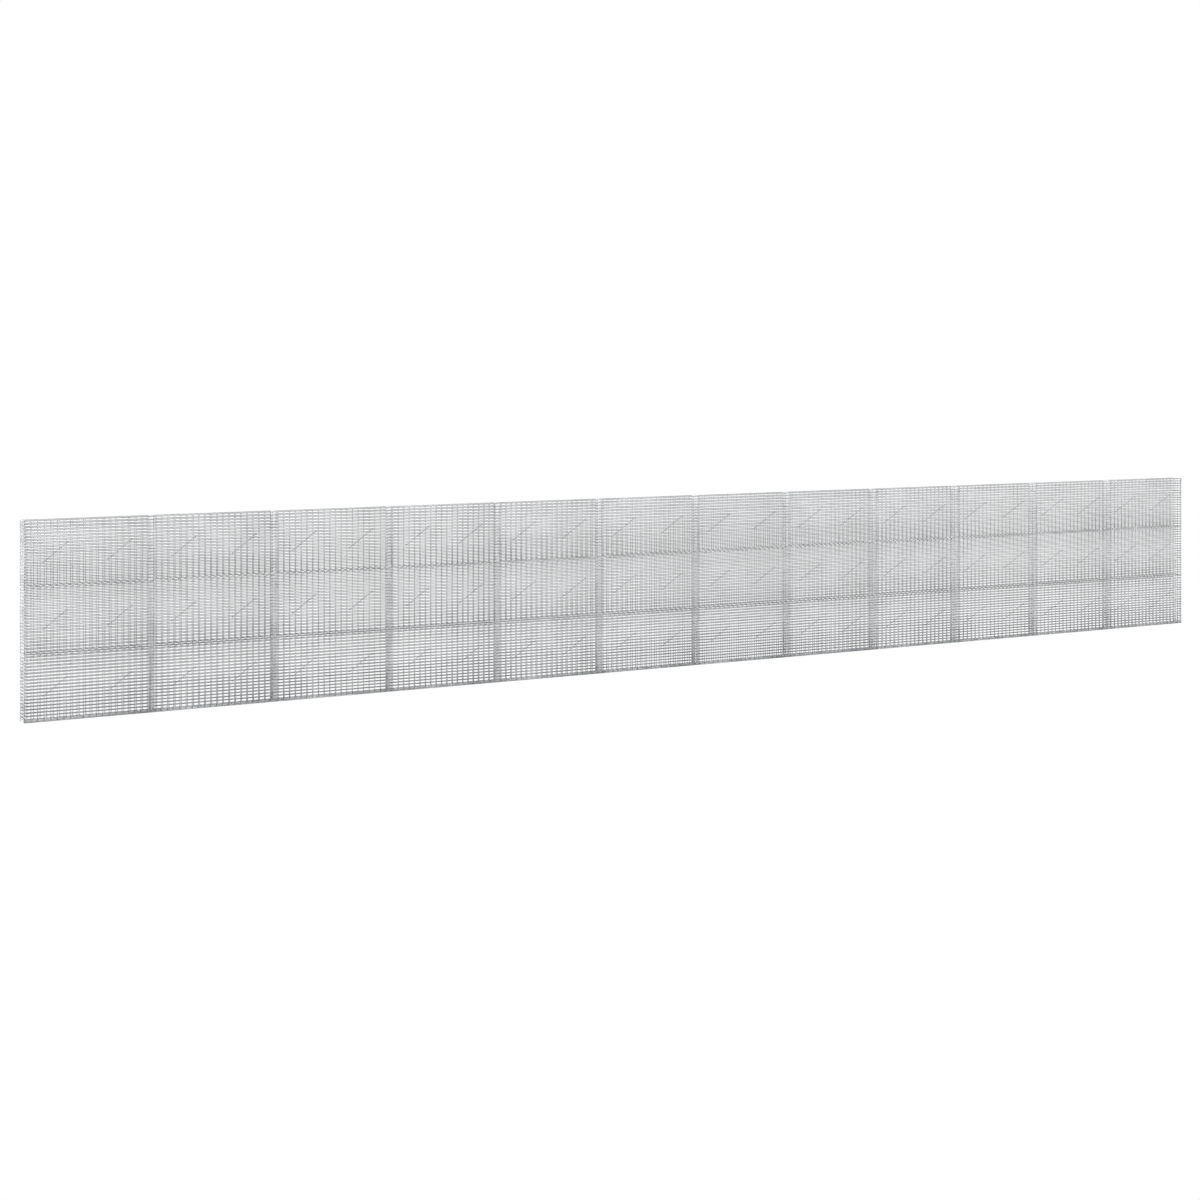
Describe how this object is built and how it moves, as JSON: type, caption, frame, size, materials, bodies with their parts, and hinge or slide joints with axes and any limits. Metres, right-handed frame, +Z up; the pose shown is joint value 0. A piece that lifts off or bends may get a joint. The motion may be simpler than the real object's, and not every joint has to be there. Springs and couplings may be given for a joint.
{
  "type": "gabion wall",
  "caption": "Long thin wall of empty galvanised welded-mesh baskets in tiers and bays, with cross partitions, joining spirals and slanted spacer wires, open at the top.",
  "frame": {"origin": "middle of the wall's footprint, on the ground", "axes": "+X along the wall, from its left end to its right as seen from the front; +Y from the front to the back; +Z up"},
  "size_m": [12, 0.125, 1.5],
  "materials": {
    "mesh_panel_wire": "hot-dip galvanised, dull",
    "cross_panel_wire": "hot-dip galvanised, dull",
    "spiral_wire": "galvanised, drawn",
    "spacer_wire": "galvanised, drawn"
  },
  "bodies": {
    "root": {"front_bay_01": "mesh_panel_wire", "front_bay_02": "mesh_panel_wire", "front_bay_03": "mesh_panel_wire", "front_bay_04": "mesh_panel_wire", "front_bay_05": "mesh_panel_wire", "front_bay_06": "mesh_panel_wire", "front_bay_07": "mesh_panel_wire", "front_bay_08": "mesh_panel_wire", "front_bay_09": "mesh_panel_wire", "front_bay_10": "mesh_panel_wire", "front_bay_11": "mesh_panel_wire", "front_bay_12": "mesh_panel_wire", "back_bay_01": "mesh_panel_wire", "back_bay_02": "mesh_panel_wire", "back_bay_03": "mesh_panel_wire", "back_bay_04": "mesh_panel_wire", "back_bay_05": "mesh_panel_wire", "back_bay_06": "mesh_panel_wire", "back_bay_07": "mesh_panel_wire", "back_bay_08": "mesh_panel_wire", "back_bay_09": "mesh_panel_wire", "back_bay_10": "mesh_panel_wire", "back_bay_11": "mesh_panel_wire", "back_bay_12": "mesh_panel_wire", "left_end_wall": "cross_panel_wire", "partition_01": "cross_panel_wire", "partition_02": "cross_panel_wire", "partition_03": "cross_panel_wire", "partition_04": "cross_panel_wire", "partition_05": "cross_panel_wire", "partition_06": "cross_panel_wire", "partition_07": "cross_panel_wire", "partition_08": "cross_panel_wire", "partition_09": "cross_panel_wire", "partition_10": "cross_panel_wire", "partition_11": "cross_panel_wire", "right_end_wall": "cross_panel_wire", "base_panels": "cross_panel_wire", "front_tier_spirals": "spiral_wire", "back_tier_spirals": "spiral_wire", "front_bay_spirals": "spiral_wire", "back_bay_spirals": "spiral_wire", "spacers_tier_1": "spacer_wire", "spacers_tier_2": "spacer_wire", "spacers_tier_3": "spacer_wire"}
  },
  "joints": []
}
